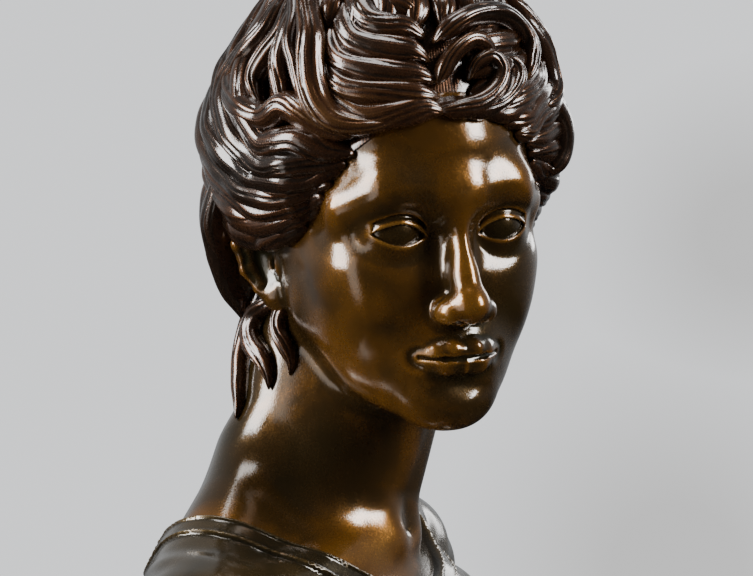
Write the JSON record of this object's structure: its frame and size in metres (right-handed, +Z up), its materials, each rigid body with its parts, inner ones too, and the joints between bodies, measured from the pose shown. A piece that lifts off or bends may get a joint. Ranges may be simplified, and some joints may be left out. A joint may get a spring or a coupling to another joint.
{
  "type": "portrait bust",
  "caption": "Hollow cast bronze bust of a woman with a gathered topknot and a plain draped dress, bolted through a turned marble socle with a square plinth",
  "frame": {"origin": "centre of the underside of the felt under the plinth", "axes": "+Z up; the chest faces -Y; the figure's left side is +X, and its head turns towards -X"},
  "size_m": [0.2354, 0.1791, 0.516],
  "materials": {
    "bronze_skin": "waxed brown patina, amber where rubbed",
    "bronze_hair": "waxed dark red-brown patina",
    "bronze_dress": "waxed olive-brown patina",
    "iron": "bare forged iron, dull",
    "steel": "plain steel",
    "marble": "polished dark red marble with pale veins",
    "felt": "dark green felt"
  },
  "bodies": {
    "root": {"head_casting": "bronze_skin", "hair_casting": "bronze_hair", "topknot_casting": "bronze_hair", "topknot_stud": "steel", "topknot_washer": "steel", "topknot_nut": "steel", "nape_lock_right": "bronze_hair", "nape_lock_left": "bronze_hair", "nape_lock_middle": "bronze_hair", "dress_casting": "bronze_dress", "neck_joint_pins": "bronze_dress", "foot_casting": "bronze_dress", "bridge_bar": "iron", "rod_washer_top": "steel", "rod_nut_top": "steel", "tie_rod": "steel", "locating_dowel": "steel", "socle_cap": "marble", "socle_ring": "bronze_dress", "socle_stem": "marble", "socle_base": "marble", "plinth": "marble", "rod_washer_bottom": "steel", "rod_nut_bottom": "steel", "base_felt": "felt"}
  },
  "joints": []
}
